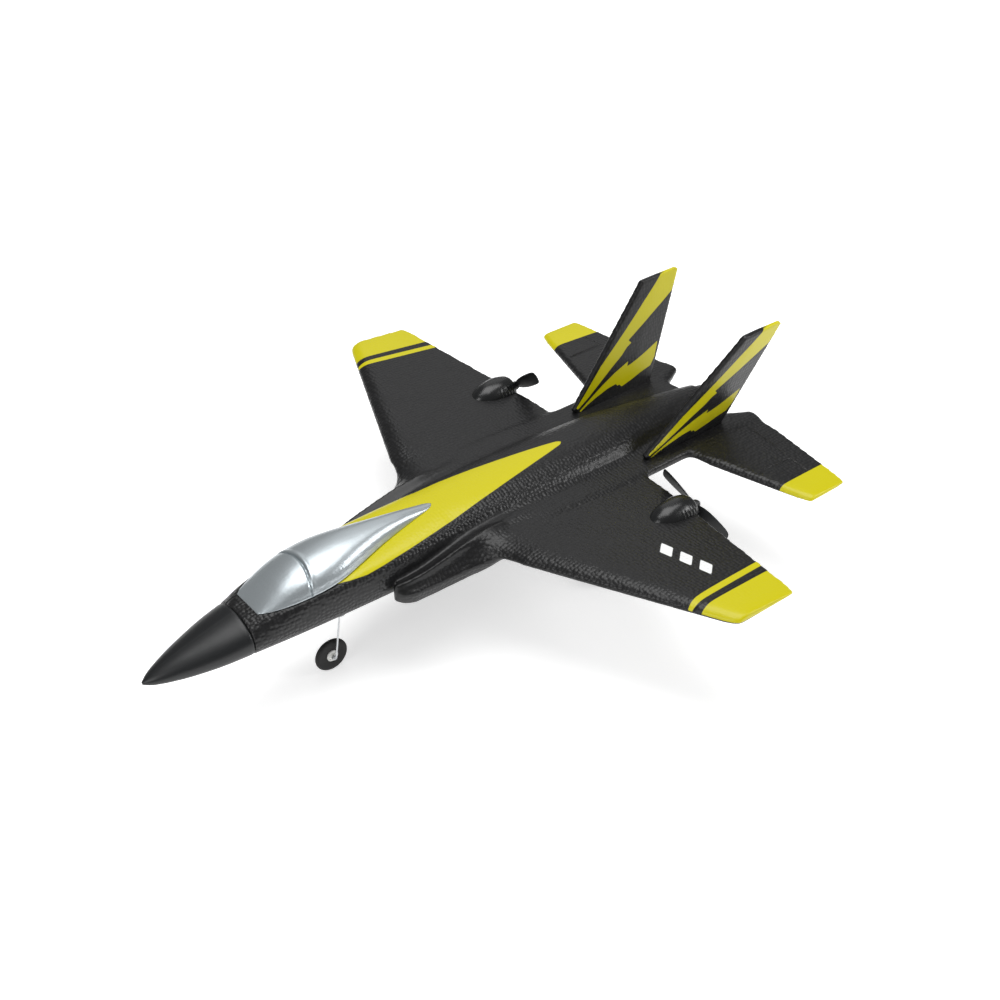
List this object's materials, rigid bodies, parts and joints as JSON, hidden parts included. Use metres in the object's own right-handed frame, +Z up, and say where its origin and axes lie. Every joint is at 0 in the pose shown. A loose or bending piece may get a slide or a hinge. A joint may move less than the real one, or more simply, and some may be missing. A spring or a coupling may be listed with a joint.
{
  "type": "rc jet plane",
  "caption": "Foam jet glider with a silver canopy, swept wings, canted twin fins, pusher propellers in pods on the wing's trailing edge and wire tricycle landing gear",
  "frame": {"origin": "on the ground, under the centre of the bounding box, wheels touching Z = 0", "axes": "+X to the port wing tip, +Y towards the tail, so the nose points to -Y, +Z up"},
  "size_m": [0.295, 0.346, 0.1169],
  "materials": {
    "foam_black": "pebbled bead foam, moulded black, with sprayed yellow markings",
    "foam_silver": "pebbled bead foam, sprayed silver",
    "nose_skin": "smooth matte black moulded nose",
    "abs_black": "injection-moulded black plastic",
    "prop_black": "moulded black nylon",
    "carbon_rod": "pultruded carbon rod",
    "steel": "drawn steel wire and small steel parts",
    "motor_can": "deep-drawn plated can",
    "tyre_rubber": "matte black foam rubber",
    "hub_white": "moulded white plastic",
    "clear_plastic": "clear moulded plastic",
    "board_green": "green solder mask",
    "chip_black": "black epoxy",
    "connector_white": "white nylon connector",
    "lead_red": "insulated lead",
    "antenna_grey": "insulated aerial wire",
    "cell_blue": "shrink-wrapped battery cell",
    "hook_pad": "hook-and-loop pad"
  },
  "bodies": {
    "airframe": {"fuselage": "foam_black", "intake_port": "foam_black", "intake_starboard": "foam_black", "wing_port": "foam_black", "wing_starboard": "foam_black", "stab_port": "foam_black", "stab_starboard": "foam_black", "fin_port": "foam_black", "fin_starboard": "foam_black", "nose_cone": "nose_skin", "canopy": "foam_silver", "wing_spar": "carbon_rod", "exhaust_nozzle": "abs_black", "motor_pod_port": "abs_black", "motor_pod_starboard": "abs_black", "battery_box": "abs_black", "motor_can_port": "motor_can", "motor_can_starboard": "motor_can", "lid_pin": "steel", "power_switch": "steel", "nose_leg_wire": "steel", "main_leg_wires": "steel", "axle_collars": "steel", "mount_screws": "steel", "motor_lead_port": "lead_red", "motor_lead_starboard": "lead_red", "battery_lead": "lead_red", "switch_lead": "lead_red", "battery_cell": "cell_blue", "cell_pad": "hook_pad", "battery_plug": "connector_white", "plug_socket": "connector_white", "receiver_board": "board_green", "board_chips": "chip_black", "antenna_wire": "antenna_grey", "nose_leg_mount": "clear_plastic", "main_leg_mounts": "clear_plastic"},
    "propeller_port_unit": {"propeller_port": "prop_black", "motor_shaft_port": "steel"},
    "propeller_starboard_unit": {"propeller_starboard": "prop_black", "motor_shaft_starboard": "steel"},
    "nose_wheel": {"nose_tyre": "tyre_rubber", "nose_hub": "hub_white"},
    "main_wheel_port": {"tyre_port": "tyre_rubber", "hub_port": "hub_white"},
    "main_wheel_starboard": {"tyre_starboard": "tyre_rubber", "hub_starboard": "hub_white"},
    "battery_hatch": {"battery_lid": "abs_black"},
    "switch_button": {"switch_slider": "abs_black"}
  },
  "joints": [
    {"name": "propeller_port_spin", "type": "hinge", "parent": "airframe", "child": "propeller_port_unit", "pos_m": [0.0687, 0.0849, 0.0592], "axis": [0, 1, 0], "continuous": true},
    {"name": "propeller_starboard_spin", "type": "hinge", "parent": "airframe", "child": "propeller_starboard_unit", "pos_m": [-0.0687, 0.0849, 0.0592], "axis": [0, 1, 0], "continuous": true},
    {"name": "nose_wheel_roll", "type": "hinge", "parent": "airframe", "child": "nose_wheel", "pos_m": [0, -0.0798, 0.0087], "axis": [1, 0, 0], "continuous": true},
    {"name": "main_wheel_port_roll", "type": "hinge", "parent": "airframe", "child": "main_wheel_port", "pos_m": [0.038, 0.071, 0.0087], "axis": [1, 0, 0], "continuous": true},
    {"name": "main_wheel_starboard_roll", "type": "hinge", "parent": "airframe", "child": "main_wheel_starboard", "pos_m": [-0.038, 0.071, 0.0087], "axis": [1, 0, 0], "continuous": true},
    {"name": "battery_hatch_hinge", "type": "hinge", "parent": "airframe", "child": "battery_hatch", "pos_m": [0.0084, -0.0358, 0.0404], "axis": [0, -1, 0], "range_deg": [0, 105]},
    {"name": "power_switch_slide", "type": "slide", "parent": "airframe", "child": "switch_button", "axis": [0, 1, 0], "range_m": [0, 0.002]}
  ]
}
